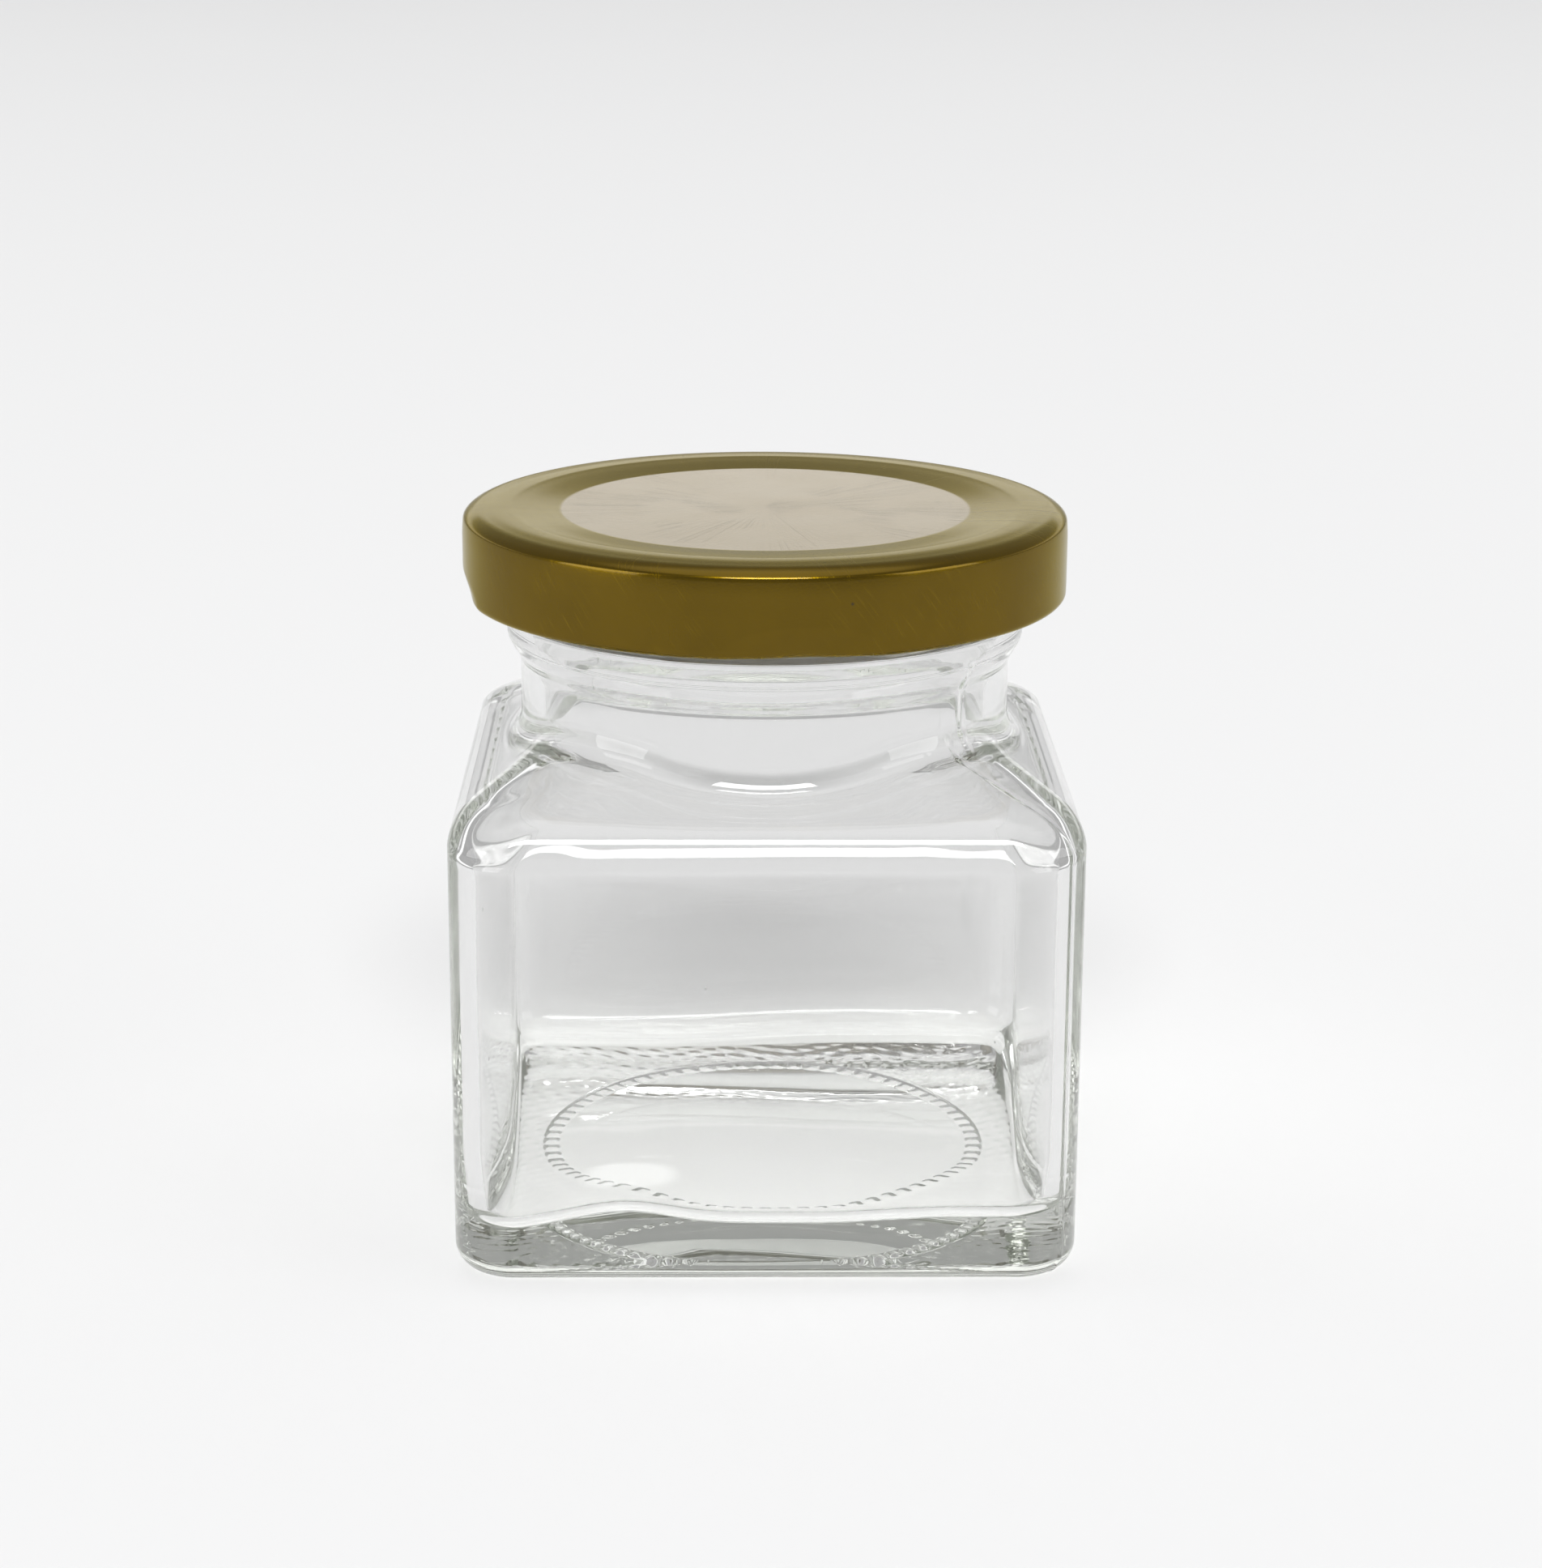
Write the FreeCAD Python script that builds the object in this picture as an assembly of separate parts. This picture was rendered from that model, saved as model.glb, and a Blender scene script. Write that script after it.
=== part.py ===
import FreeCAD, Part

import math
import os

# Square glass jar with a round neck and a pressed four-lug twist-off lid.
# Millimetres, +Z up, origin at the centre of the base. The lid is shown closed.

# Jar body: a square prism with rounded corners
body_half = 28.05          # half of the width across the flats
body_corner_r = 5.5        # vertical corners, outside
heel_r = 2.6               # rounding between the walls and the base
wall = 2.1                 # side walls
floor_thick = 4.3          # the thick base of pressed glass
inner_corner_r = 4.2       # vertical corners, inside
inner_heel_r = 3.0         # rounding between the inner walls and the floor

# Shoulder: four sloping faces that meet in soft hips over the corners.
# Each section is (height, half-width, corner radius).
shoulder_sections = [
    (39.4, 28.05, 5.5),
    (40.7, 27.75, 5.8),
    (41.8, 27.0, 6.6),
    (43.0, 25.3, 8.2),
    (44.6, 22.4, 9.6),
    (46.4, 19.0, 10.8),
    (47.6, 16.8, 11.6),
]
shoulder_fillet = 2.0      # where the shoulder runs up into the neck
inner_drop = 1.45          # the inner shoulder lies this far below the outer one

# Neck and finish: everything round, all turned about Z
neck_r = 22.6
neck_inner_r = 20.45
finish_r = 24.6            # plain wall between the threads
mouth_r = 21.35            # the bore widens along with the bead
# Transfer bead: the neck flares softly out to the finish. Points are (radius, height).
bead_profile = [(22.6, 51.3), (22.8, 52.0), (23.5, 53.2), (23.85, 54.2), (24.0, 55.6), (24.6, 57.2)]
rim_z = 64.1               # sealing rim of the mouth
rim_round = 1.1            # outer edge of the rim
rim_flat = 0.35            # the rounding is drawn as two flats, split this far from each end
mouth_bevel = 0.8          # inner edge of the rim

# Thread: four starts, right-handed
thread_starts = 4
thread_lead = 11.0         # rise in one full turn
thread_crest_r = 25.85
thread_root_half = 0.72    # half-height of the ridge at the wall
thread_crest_half = 0.30
thread_root_step = 0.12    # the ridge widens by this much where it meets the wall
thread_sink = 0.9          # how far the ridge is sunk into the wall
thread_span_deg = 84.0
thread_low_deg = -66.0     # low end of the first ridge, about Z from +X
thread_low_z = 57.02       # centre height of that end

# Underside of the base
base_ring_r = 21.0         # outer edge of the ring of grip marks
grip_marks = 72
grip_mark_length = 1.4
grip_mark_width = 0.85
grip_mark_depth = 0.3
push_up_r = 18.9           # shallow hollow in the middle of the base
push_up_depth = 0.7

# Lid: one pressing of thin tinplate
lid_r = 27.8
lid_top_z = 65.55
lid_bottom_z = 57.45
sheet = 0.25
lid_corner_r = 1.9
panel_r = 18.9             # flat sunk panel
panel_edge_r = 19.2        # foot of the sloping rim
panel_top_z = 65.15
step_top_z = 65.23
crown_r = 23.8             # where the slope of the rim flattens out
crown_drop = 0.12          # height still to rise from there
curl_r = 0.65              # rolled lower edge, outside radius of the roll
curl_turn_deg = 285.0
lug_count = 4
lug_centre_deg = -83.6
lug_width_deg = 24.0
lug_inner_r = 25.1
lug_height = 0.8
lug_edge = 0.2             # bevel along the hooking edge
lug_root_r = 27.3          # the lug starts inside the rolled edge

# Sealing ring: flowed into the channel under the rim of the lid. Its section is a polygon.
gasket_inner_r = 20.9
gasket_outer_r = 26.3
gasket_gap = 0.06          # to the lid above and to the glass below
gasket_lip = 0.5           # bevel along the inner edge, underneath
gasket_lip_rise = 0.2
gasket_inner_rise = 0.75   # height of the inner edge above the seat
gasket_top_bevel = 0.45
gasket_top_drop = 0.35
seat_depth = 0.5           # the ring hangs this far down outside the rim
seat_width = 1.4
skirt_bevel = 0.3          # along the foot of that hanging edge
skirt_bevel_rise = 0.1

up = FreeCAD.Vector(0, 0, 1)
centre = FreeCAD.Vector(0, 0, 0)


def vec(x, y, z):
    return FreeCAD.Vector(x, y, z)


def rounded_square(half, radius, z):
    """Closed wire: a square with quarter-circle corners at height z."""
    edges = []
    flat = half - radius
    for quarter in range(4):
        turn = math.radians(90.0 * quarter)
        ux, uy = math.cos(turn), math.sin(turn)
        corner_x = flat * (ux - uy)
        corner_y = flat * (uy + ux)
        start = vec(corner_x + radius * ux, corner_y + radius * uy, z)
        end = vec(corner_x - radius * uy, corner_y + radius * ux, z)
        mid_turn = turn + math.pi / 4
        middle = vec(corner_x + radius * math.cos(mid_turn), corner_y + radius * math.sin(mid_turn), z)
        before = vec(flat * (ux + uy) + radius * ux, flat * (uy - ux) + radius * uy, z)
        edges.append(Part.makeLine(before, start))
        edges.append(Part.Arc(start, middle, end).toShape())
    return Part.Wire(Part.__sortEdges__(edges))


def prism(half, radius, low, high):
    face = Part.Face(rounded_square(half, radius, low))
    return face.extrude(vec(0, 0, high - low))


def turned(points):
    """Solid of revolution about Z of a closed outline of (radius, z) points."""
    outline = Part.makePolygon([vec(r, 0, z) for r, z in points + points[:1]])
    return Part.Face(outline).revolve(centre, up, 360)


def round_low_edges(solid, z, radius):
    """Fillet every edge that lies in the plane at height z."""
    low = [edge for edge in solid.Edges
           if abs(edge.BoundBox.ZMin - z) < 1e-6 and abs(edge.BoundBox.ZMax - z) < 1e-6]
    return solid.makeFillet(radius, low)


def shoulder(inset, drop):
    """Loft through the shoulder sections, moved in by inset and down by drop."""
    tighter = (body_corner_r - inner_corner_r) * inset / wall
    wires = [rounded_square(half - inset, radius - tighter, z - drop)
             for z, half, radius in shoulder_sections]
    return Part.makeLoft(wires, True, False)


def jar_outside():
    low_z = shoulder_sections[0][0]
    body = round_low_edges(prism(body_half, body_corner_r, 0, low_z), 0, heel_r)
    rim = [(finish_r, rim_z - rim_round), (finish_r - rim_flat, rim_z - rim_flat),
           (finish_r - rim_round, rim_z)]
    neck = turned([(0, low_z), (neck_r, low_z)] + bead_profile + rim + [(0, rim_z)])
    outside = body.fuse(shoulder(0, 0)).fuse(neck).removeSplitter()
    foot = [edge for edge in outside.Edges if is_neck_foot(edge)]
    return outside.makeFillet(shoulder_fillet, foot)


def is_neck_foot(edge):
    """True for an edge where the neck's cylinder comes out of the sloping shoulder."""
    on_neck = all(abs(math.hypot(point.x, point.y) - neck_r) < 0.02 for point in edge.discretize(5))
    below_bead = edge.BoundBox.ZMax < bead_profile[0][1] - 0.5
    return on_neck and below_bead and edge.BoundBox.ZMin > shoulder_sections[3][0]


def jar_inside():
    low_z = shoulder_sections[0][0] - inner_drop
    room = prism(body_half - wall, inner_corner_r, floor_thick, low_z)
    room = round_low_edges(room, floor_thick, inner_heel_r)
    wide_r = mouth_r + mouth_bevel
    bead_low_z = bead_profile[0][1]
    bead_full_z = bead_profile[3][1]
    mouth = turned([(0, low_z), (neck_inner_r, low_z), (neck_inner_r, bead_low_z),
                    (mouth_r, bead_full_z), (mouth_r, rim_z - mouth_bevel),
                    (wide_r, rim_z + 0.1), (wide_r, rim_z + 1), (0, rim_z + 1)])
    return room.fuse(shoulder(wall, inner_drop)).fuse(mouth)


def thread_ridge(start):
    """One helical ridge, swept along its own stretch of the right-handed helix."""
    height = thread_lead * thread_span_deg / 360.0
    path = Part.makeHelix(thread_lead, height, finish_r)
    root_r = finish_r - thread_sink
    foot_half = thread_root_half - thread_root_step
    outline = Part.makePolygon([
        vec(root_r, 0, -thread_root_half), vec(finish_r, 0, -foot_half),
        vec(thread_crest_r, 0, -thread_crest_half), vec(thread_crest_r, 0, thread_crest_half),
        vec(finish_r, 0, foot_half), vec(root_r, 0, thread_root_half),
        vec(root_r, 0, -thread_root_half)])
    ridge = Part.Wire(path).makePipeShell([outline], True, True)
    ridge.rotate(centre, up, thread_low_deg + 360.0 * start / thread_starts)
    ridge.translate(vec(0, 0, thread_low_z))
    return ridge


def grip_mark(index):
    """One short radial notch of the ring on the underside."""
    notch = Part.makeBox(grip_mark_length, grip_mark_width, grip_mark_depth + 1)
    notch.translate(vec(base_ring_r - grip_mark_length, -grip_mark_width / 2, -1))
    notch.rotate(centre, up, 360.0 * index / grip_marks)
    return notch


def push_up():
    """Shallow spherical hollow in the middle of the base."""
    ball_r = (push_up_r ** 2 + push_up_depth ** 2) / (2 * push_up_depth)
    return Part.makeSphere(ball_r, vec(0, 0, push_up_depth - ball_r))


def glass_jar():
    jar = jar_outside()
    jar = jar.fuse([thread_ridge(start) for start in range(thread_starts)])
    jar = jar.cut(jar_inside())
    jar = jar.cut([grip_mark(index) for index in range(grip_marks)])
    return jar.cut(push_up())


def lid_shell():
    corner = vec(lid_r - lid_corner_r, 0, lid_top_z - lid_corner_r)
    inner_r = lid_corner_r - sheet
    diagonal = math.sqrt(0.5)
    curl_z = lid_bottom_z + curl_r
    outside = [vec(0, 0, panel_top_z), vec(panel_r, 0, panel_top_z), vec(panel_edge_r, 0, step_top_z),
               vec(crown_r, 0, lid_top_z - crown_drop), vec(lid_r - lid_corner_r, 0, lid_top_z)]
    inside = [point - vec(0, 0, sheet) for point in reversed(outside)]
    outer_arc = Part.Arc(outside[-1],
                         corner + vec(lid_corner_r * diagonal, 0, lid_corner_r * diagonal),
                         vec(lid_r, 0, corner.z))
    inner_arc = Part.Arc(vec(lid_r - sheet, 0, corner.z),
                         corner + vec(inner_r * diagonal, 0, inner_r * diagonal), inside[0])
    edges = Part.makePolygon(outside).Edges + [outer_arc.toShape()]
    edges += [Part.makeLine(vec(lid_r, 0, corner.z), vec(lid_r, 0, curl_z)),
              Part.makeLine(vec(lid_r, 0, curl_z), vec(lid_r - sheet, 0, curl_z)),
              Part.makeLine(vec(lid_r - sheet, 0, curl_z), vec(lid_r - sheet, 0, corner.z))]
    edges += [inner_arc.toShape()] + Part.makePolygon(inside).Edges
    edges.append(Part.makeLine(inside[-1], outside[0]))
    shell = Part.Face(Part.Wire(Part.__sortEdges__(edges))).revolve(centre, up, 360)
    return shell.fuse([curl()] + [lug(index) for index in range(lug_count)])


def curl():
    """Lower edge of the skirt rolled inwards into an open tube."""
    middle = vec(lid_r - curl_r, 0, lid_bottom_z + curl_r)
    outer = Part.Circle(middle, vec(0, 1, 0), curl_r)
    inner = Part.Circle(middle, vec(0, 1, 0), curl_r - sheet)
    turn = math.radians(curl_turn_deg)
    arcs = [Part.ArcOfCircle(ring, 0, turn).toShape() for ring in (outer, inner)]
    ends = [Part.makeLine(arcs[0].Vertexes[side].Point, arcs[1].Vertexes[side].Point) for side in (0, -1)]
    return Part.Face(Part.Wire(Part.__sortEdges__(arcs + ends))).revolve(centre, up, 360)


def lug(index):
    """Stretch of the rolled edge pressed flat and inwards, to hook under a thread."""
    high_z = lid_bottom_z + lug_height
    outline = Part.makePolygon([
        vec(lug_inner_r, 0, lid_bottom_z + lug_edge), vec(lug_inner_r + lug_edge, 0, lid_bottom_z),
        vec(lug_root_r, 0, lid_bottom_z + lug_edge / 2), vec(lug_root_r, 0, high_z),
        vec(lug_inner_r + lug_edge, 0, high_z), vec(lug_inner_r, 0, high_z - lug_edge),
        vec(lug_inner_r, 0, lid_bottom_z + lug_edge)])
    tab = Part.Face(outline).revolve(centre, up, lug_width_deg)
    tab.rotate(centre, up, lug_centre_deg - lug_width_deg / 2 + 360.0 * index / lug_count)
    return tab


def sealing_gasket():
    """Soft ring with a shallow seat pressed into it by the rim of the jar."""
    low_z = rim_z + gasket_gap
    high_z = lid_top_z - sheet - gasket_gap
    seat_r = gasket_outer_r - seat_width
    crown_end_r = lid_r - lid_corner_r - 0.1
    return turned([
        (gasket_inner_r, low_z + gasket_lip_rise), (gasket_inner_r + gasket_lip, low_z),
        (seat_r, low_z), (seat_r + seat_depth, low_z - seat_depth),
        (gasket_outer_r - skirt_bevel, low_z - seat_depth + skirt_bevel_rise),
        (gasket_outer_r, low_z), (gasket_outer_r, high_z - gasket_top_drop),
        (gasket_outer_r - gasket_top_bevel, high_z), (crown_end_r, high_z),
        (crown_r, high_z - crown_drop), (gasket_inner_r, low_z + gasket_inner_rise)])


def main():
    os.makedirs("parts", exist_ok=True)
    makers = {"glass_jar": glass_jar, "lid_shell": lid_shell, "sealing_gasket": sealing_gasket}
    for node, make in makers.items():
        shape = make().removeSplitter()
        solids = len(shape.Solids)
        box = shape.BoundBox
        print(node, "solids", solids, "valid", shape.isValid(), "volume", round(shape.Volume, 1),
              "z", round(box.ZMin, 3), round(box.ZMax, 3), "x", round(box.XMin, 3), round(box.XMax, 3))
        shape.Solids[0].exportStep("parts/" + node + ".step")


main()
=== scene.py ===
# Small square glass jar with a gold twist-off lid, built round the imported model.
# Lengths are metres; the dictionaries below hold millimetres times mm.
import math

import bpy
import numpy as np
from mathutils import Matrix, Vector


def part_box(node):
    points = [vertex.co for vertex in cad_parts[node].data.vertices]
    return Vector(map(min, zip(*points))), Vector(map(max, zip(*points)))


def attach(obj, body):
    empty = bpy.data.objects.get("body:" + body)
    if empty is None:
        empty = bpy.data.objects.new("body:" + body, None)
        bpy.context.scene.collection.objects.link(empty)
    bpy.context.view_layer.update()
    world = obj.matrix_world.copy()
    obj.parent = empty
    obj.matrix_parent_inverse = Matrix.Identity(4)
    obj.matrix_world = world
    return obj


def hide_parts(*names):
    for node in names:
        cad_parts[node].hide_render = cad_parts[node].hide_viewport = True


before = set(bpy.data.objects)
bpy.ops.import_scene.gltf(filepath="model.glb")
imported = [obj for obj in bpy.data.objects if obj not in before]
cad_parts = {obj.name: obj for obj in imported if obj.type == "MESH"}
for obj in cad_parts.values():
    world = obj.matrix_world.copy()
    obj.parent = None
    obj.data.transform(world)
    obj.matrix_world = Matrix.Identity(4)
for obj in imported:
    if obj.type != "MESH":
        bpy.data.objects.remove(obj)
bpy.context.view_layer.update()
mm = 0.001

jarLow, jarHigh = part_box("glass_jar")
lidLow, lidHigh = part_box("lid_shell")
ringLow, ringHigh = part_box("sealing_gasket")
bodyHalf = (jarHigh.x - jarLow.x) / 2
rimZ = jarHigh.z
lidRadius = lidHigh.x
lidTop = lidHigh.z
lidBottom = lidLow.z
print("frame: body %.1f mm wide, lid %.1f mm across" % (bodyHalf * 2000, lidRadius * 2000))


# shapes worked out on grids

def smoothStep(x, low, high):
    # 0 below low, 1 above high, and a smooth rise between them
    t = np.clip((x - low) / (high - low), 0, 1)
    return t * t * (3 - 2 * t)


def softMax(a, b, width):
    # the larger of two values, with a rounded join about as wide as width
    return 0.5 * (a + b + np.sqrt((a - b) ** 2 + width ** 2))


def bump(x, centre, width):
    # a bell of height 1
    return np.exp(-((x - centre) / width) ** 2)


def turnTo(angle, target):
    # shortest way round from target to angle, in radians
    return (angle - target + math.pi) % (2 * math.pi) - math.pi


def squareReach(angle, half, corner):
    # distance from the axis to a square with rounded corners: a flat side is half / cos,
    # and in the corner it is the far crossing of the ray with the corner's circle
    far = np.maximum(np.abs(np.cos(angle)), np.abs(np.sin(angle)))
    near = np.minimum(np.abs(np.cos(angle)), np.abs(np.sin(angle)))
    flat = half / far
    arm = half - corner
    along = arm * (far + near)
    rounded = along + np.sqrt(np.maximum(along ** 2 - 2 * arm ** 2 + corner ** 2, 0))
    return np.where(flat * near <= arm, flat, rounded)


def steps(*stops):
    # rows between stops: (from, to, how many), joined end to end
    return np.concatenate([np.linspace(a, b, n, endpoint=False) for a, b, n in stops])


def surfaceFromRings(rings, closed):
    # rings is rows x columns x 3. Open surfaces get a pole at each end, closed ones join
    # the last row to the first. Returns points, four-sided faces and the triangles at the
    # poles, all looking outwards: the sum of a . (b x c) over the faces is then positive.
    rows, columns, _ = rings.shape
    index = np.arange(rows * columns).reshape(rows, columns)
    if closed:
        index = np.vstack([index, index[:1]])
    nextColumn = np.roll(index, -1, axis=1)
    quads = np.stack([index[:-1], nextColumn[:-1], nextColumn[1:], index[1:]], -1).reshape(-1, 4)
    points = rings.reshape(-1, 3)
    caps = np.zeros((0, 3), int)
    if not closed:
        poles = np.array([rings[0].mean(0), rings[-1].mean(0)])
        first = np.stack([np.full(columns, rows * columns), nextColumn[0], index[0]], -1)
        last = np.stack([np.full(columns, rows * columns + 1), index[-1], nextColumn[-1]], -1)
        points = np.vstack([points, poles])
        caps = np.vstack([first, last])
    a, b, c, d = (points[quads[:, k]] for k in range(4))
    volume = np.einsum("ij,ij->", a, np.cross(b, c)) + np.einsum("ij,ij->", a, np.cross(c, d))
    if volume < 0:
        quads, caps = quads[:, ::-1], caps[:, ::-1]
    return points, quads, caps


def makePiece(name, parts, materials, slots=None):
    # parts is a list of (points, quads, triangles); slots gives each face its material
    points = np.vstack([part[0] for part in parts])
    starts = np.cumsum([0] + [len(part[0]) for part in parts[:-1]])
    corners = [np.append(quads, caps) + start for start, (_, quads, caps) in zip(starts, parts)]
    corners = np.concatenate(corners)
    sizes = np.concatenate([np.repeat([4, 3], [len(quads), len(caps)]) for _, quads, caps in parts])
    mesh = bpy.data.meshes.new(name)
    mesh.vertices.add(len(points))
    mesh.loops.add(len(corners))
    mesh.polygons.add(len(sizes))
    mesh.vertices.foreach_set("co", points.ravel())
    mesh.polygons.foreach_set("loop_start", np.cumsum(sizes) - sizes)
    mesh.loops.foreach_set("vertex_index", corners)
    mesh.update(calc_edges=True)
    mesh.polygons.foreach_set("use_smooth", np.ones(len(sizes), bool))
    for material in materials:
        mesh.materials.append(material)
    if slots is not None:
        mesh.polygons.foreach_set("material_index", np.asarray(slots, np.int32))
    mesh.validate()
    piece = bpy.data.objects.new(name, mesh)
    bpy.context.scene.collection.objects.link(piece)
    print("piece", name, len(mesh.vertices), "points", len(mesh.polygons), "faces")
    return piece


def toPoints(radius, angle, z):
    # radius cos angle, radius sin angle, z
    radius, angle, z = np.broadcast_arrays(radius, angle, z)
    return np.stack([radius * np.cos(angle), radius * np.sin(angle), z], -1)


# the glass jar: body, shoulder, neck, threads, inside and underside in one closed surface

glass = {
    "columns": 504,
    "gather": 0.6,              # how much the columns crowd towards the corners
    "corner": 5.5 * mm,
    "heel": 2.6 * mm,
    "edge": 3.8 * mm,           # rounding between the sides and the shoulder
    "rounder": 5.4 * mm,        # the corners gain this radius between the two heights below
    "rounderLow": 39.5 * mm,
    "rounderHigh": 47.5 * mm,
    "slope": math.radians(26.5),
    "neckFoot": 44.55 * mm,     # where the slope would meet the neck on the flat sides
    "neck": 22.6 * mm,
    "foot": 3.4 * mm,           # radius of the hollow sweep from the shoulder up into the neck
    "innerFoot": 2.6 * mm,
    "footLow": 41 * mm,         # the sweep is looked for between these two heights
    "footHigh": 49 * mm,
    "neckFrom": 50 * mm,        # above this the outside is the neck alone
    "beadLow": 51.3 * mm,
    "beadFull": 54.3 * mm,
    "bead": 23.85 * mm,
    "partingZ": 54.0 * mm,      # fine line where the ring of the mould met its body
    "parting": 0.03 * mm,
    "finish": 24.6 * mm,
    "finishLow": 55.9 * mm,     # the bead passes into the wall of the finish between these
    "finishFull": 57.3 * mm,
    "rimRound": 1.1 * mm,
    "bore": 20.45 * mm,
    "mouth": 21.35 * mm,        # the bore widens along with the bead
    "wall": 2.1 * mm,
    "innerCorner": 4.2 * mm,
    "innerHeel": 3.0 * mm,
    "innerDrop": 1.45 * mm,
    "floor": 4.3 * mm,
    "floorCorner": 1.2 * mm,
    "floorFront": 0.55 * mm,    # the floor swells by these along the front edge
    "floorSwell": 1.15 * mm,
    "floorRight": 0.55 * mm,
    "floorDip": 0.75 * mm,      # and dips towards the left corner
    "floorBack": 1.1 * mm,
    "wavy": 0.05 * mm,          # how far the blown walls waver
    "hip": 0.11 * mm,           # how uneven the glass is inside the four hips
    "hipZ": 41.5 * mm,
    "threadCrest": 1.22 * mm,
    "threadLead": 11.0 * mm,
    "threadLow": 57.02 * mm,
    "threadStart": math.radians(-66),
    "threadSpan": math.radians(84),
    "seam": 0.12 * mm,
    "bodySeam": math.radians(-45),
    "neckSeam": math.radians(-40),
    "marks": 72,
    "markRing": 21.0 * mm,
    "markLength": 1.4 * mm,
    "markDepth": 0.24 * mm,
    "ringStep": 0.1 * mm,
    "pushUp": 0.65 * mm,
    "hammer": 0.022 * mm,
    "baffle": 0.05 * mm,        # faint ring left by the end plate of the mould
    "baffleRing": 13 * mm,
}


def columnAngles(gather):
    # even angles, drawn towards the four corners by gather
    even = np.arange(glass["columns"]) * 2 * math.pi / glass["columns"]
    return even[None, :] + np.asarray(gather).reshape(-1, 1) / 4 * np.sin(4 * even)[None, :]


def shoulderHalf(z):
    # half-width of the body at height z: upright, then an arc, then a straight slope
    g = glass
    cot = 1 / math.tan(g["slope"])
    tangent = g["edge"] * math.tan((math.pi / 2 - g["slope"]) / 2)
    corner = g["neckFoot"] - (bodyHalf - g["neck"]) * math.tan(g["slope"])
    upright = corner - tangent
    rise = np.clip((z - upright) / g["edge"], 0, math.cos(g["slope"]))
    arc = bodyHalf - g["edge"] + g["edge"] * np.sqrt(1 - rise ** 2)
    line = g["neck"] - (z - g["neckFoot"]) * cot
    return np.where(z < upright + g["edge"] * math.cos(g["slope"]), arc, line)


def shoulderCorner(z):
    # the corners grow rounder as the shoulder closes in
    g = glass
    return g["corner"] + g["rounder"] * smoothStep(z, g["rounderLow"], g["rounderHigh"])


def neckReach(z):
    # neck, then a soft flare out to the bead under the threads, then the plain wall of the finish
    g = glass
    bead = smoothStep(z, g["beadLow"], g["beadFull"]) * (g["bead"] - g["neck"])
    above = smoothStep(z, g["finishLow"], g["finishFull"]) * (g["finish"] - g["bead"])
    line = g["parting"] * bump(z, g["partingZ"], 0.09 * mm)
    return g["neck"] + bead - line + above


def footSweep(angle, z, body, neck, radius):
    # where body (reach of the shoulder, falling with height) crosses the neck, a circular
    # sweep of this radius that touches both: neck + radius - sqrt(radius^2 - (z - top)^2)
    fine = np.linspace(0, 2 * math.pi, 721)[:, None]
    heights = np.linspace(glass["footLow"], glass["footHigh"], 161)[None, :]
    reach = body(fine, heights)
    below = reach > neck
    crossing = np.clip(below.sum(1) - 1, 0, heights.size - 2)
    row = np.arange(len(crossing))
    drop = reach[row, crossing] - reach[row, crossing + 1]
    gap = heights[0, 1] - heights[0, 0]
    cross = heights[0, crossing] + gap * (reach[row, crossing] - neck) / drop
    lean = np.arctan(drop / gap)
    angle, z = np.broadcast_arrays(angle, z)
    cross = np.interp(angle % (2 * math.pi), fine[:, 0], cross)
    lean = np.interp(angle % (2 * math.pi), fine[:, 0], lean)
    top = cross + radius * np.tan(lean / 2)
    bottom = top - radius * np.sin(lean)
    down = np.clip(top - z, 0, radius * np.sin(lean))
    arc = neck + radius - np.sqrt(radius ** 2 - down ** 2)
    return np.where(z < bottom, body(angle, z), arc)


def threadRidge(angle, z):
    # four right-handed ridges; each runs in and out over its own stretch of the helix
    g = glass
    ridge = 0
    for start in range(4):
        run = (angle - g["threadStart"] - start * math.pi / 2) % (2 * math.pi)
        centre = g["threadLow"] + g["threadLead"] * run / (2 * math.pi)
        ends = smoothStep(run, 0, 0.1) * (1 - smoothStep(run, g["threadSpan"] - 0.12, g["threadSpan"]))
        ridge = ridge + ends * (1 - smoothStep(np.abs(z - centre), 0.28 * mm, 0.7 * mm))
    return g["threadCrest"] * ridge


def seamRidge(angle, radius, z):
    # the fine lines that the two halves of the mould leave, on opposite corners
    g = glass
    ridge = 0
    for opposite in (0, math.pi):
        body = bump(turnTo(angle, g["bodySeam"] + opposite) * radius, 0, 0.2 * mm)
        neck = bump(turnTo(angle, g["neckSeam"] + opposite) * radius, 0, 0.25 * mm)
        ridge = ridge + body * (1 - smoothStep(z, 47.2 * mm, 48.2 * mm))
        neck = neck * smoothStep(z, 45.6 * mm, 46.4 * mm)
        ridge = ridge + neck * (1 - smoothStep(z, 53.8 * mm, 54.4 * mm))
    return g["seam"] * ridge


def shoulderReach(angle, z):
    # distance from the axis to the square shoulder at height z
    half = np.maximum(shoulderHalf(z), 12 * mm)
    return squareReach(angle, half, np.minimum(shoulderCorner(z), half))


def innerShoulderReach(angle, z):
    # the same shape, one wall further in and a little lower
    g = glass
    outerZ = z + g["innerDrop"]
    half = np.maximum(shoulderHalf(outerZ) - g["wall"], 11 * mm)
    corner = shoulderCorner(outerZ) - (g["corner"] - g["innerCorner"])
    return squareReach(angle, half, np.minimum(corner, half))


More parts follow.
